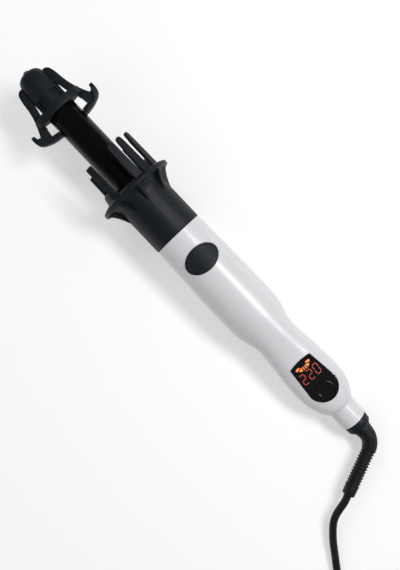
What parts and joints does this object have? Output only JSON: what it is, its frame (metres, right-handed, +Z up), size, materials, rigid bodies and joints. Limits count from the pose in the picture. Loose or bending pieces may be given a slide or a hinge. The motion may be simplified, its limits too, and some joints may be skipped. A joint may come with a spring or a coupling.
{
  "type": "automatic hair curler",
  "caption": "Automatic hair curler: white handle with rocker and display, hot barrel behind a finger guard, hooked dial at the tip that turns, and a swivel cord with a coil and plug.",
  "frame": {"origin": "middle of the bottom of the tool's box, without its cord: it lies on its back on flats under the handle and the flange", "axes": "+X towards the tip, along the tool, +Z up, the buttons and the display face up"},
  "size_m": [0.6014, 0.17, 0.0643],
  "materials": {
    "white_shell": "pearl white, smooth gloss",
    "black_plastic": "fine satin black",
    "rocker_skin": "soft slate rubber",
    "button_gloss": "polished black",
    "lens": "smoked, polished",
    "barrel_coat": "dark ceramic coat on aluminium",
    "steel": "plain steel",
    "heater_aluminium": "extruded aluminium",
    "brass": "plain brass",
    "board": "green circuit board",
    "grey_plastic": "moulded grey plastic",
    "heat_plastic": "cream heat-proof plastic",
    "heating_ceramic": "insulated ceramic heating strip",
    "lead_skin": "silicone sleeve",
    "cord_skin": "soft black, satin"
  },
  "bodies": {
    "handle_body": {"front_shell": "white_shell", "rear_shell": "white_shell", "shell_screw_1": "steel", "shell_screw_2": "steel", "shell_screw_3": "steel", "shell_screw_4": "steel", "display_lens": "lens", "display_board": "board", "led_digits": "grey_plastic", "level_lights": "grey_plastic", "power_switch": "grey_plastic", "rocker_board": "board", "rocker_frame": "black_plastic", "rocker_pin": "steel", "left_switch": "grey_plastic", "right_switch": "grey_plastic", "main_board": "board", "power_capacitor": "button_gloss", "heat_triac": "grey_plastic", "lead_terminal": "grey_plastic", "motor": "steel", "gearbox": "brass", "motor_bracket": "steel", "bracket_screw_left": "steel", "bracket_screw_right": "steel", "heater_lead_live": "lead_skin", "heater_lead_neutral": "lead_skin", "barrel_sleeve": "black_plastic", "guard_crown": "black_plastic", "barrel": "barrel_coat", "barrel_clamp": "heat_plastic", "barrel_spacer": "heat_plastic", "shaft_bulkhead": "heat_plastic", "tip_bush": "heat_plastic", "heater_block_front": "heater_aluminium", "heater_block_back": "heater_aluminium", "heating_strip_left": "heating_ceramic", "heating_strip_right": "heating_ceramic", "shaft_guide": "steel", "thermal_fuse": "heat_plastic", "thermistor": "button_gloss", "swivel_socket": "heat_plastic", "slip_ring_board": "board"},
    "dial_body": {"output_shaft": "steel", "shaft_coupler": "brass", "drive_shaft": "steel", "curl_dial": "black_plastic", "dial_cap": "black_plastic", "dial_screw": "steel", "tip_plug": "black_plastic"},
    "rocker_body": {"direction_rocker": "rocker_skin"},
    "button_body": {"power_button": "button_gloss"},
    "cord_body": {"swivel_collar": "black_plastic", "strain_relief": "cord_skin", "cord": "cord_skin", "cord_coil": "cord_skin", "plug_body": "cord_skin", "plug_pin_left": "brass", "plug_pin_right": "brass"}
  },
  "joints": [
    {"name": "curl_dial_spin", "type": "hinge", "parent": "handle_body", "child": "dial_body", "pos_m": [0.15771, 0, 0.0391], "axis": [0.9971, 0, 0.076], "continuous": true},
    {"name": "direction_rocker_tilt", "type": "hinge", "parent": "handle_body", "child": "rocker_body", "pos_m": [-0.0099, 0, 0.03937], "axis": [0.9971, 0, 0.076], "range_deg": [-4, 4], "stiffness_Nm_per_rad": 0.15},
    {"name": "power_button_press", "type": "slide", "parent": "handle_body", "child": "button_body", "axis": [-0.076, 0, 0.9971], "range_m": [-0.0008, 0], "stiffness_N_per_m": 800, "springref_m": 0.0004},
    {"name": "cord_swivel", "type": "hinge", "parent": "handle_body", "child": "cord_body", "pos_m": [-0.18131, 0, 0.01327], "axis": [0.9971, 0, 0.076], "continuous": true}
  ]
}
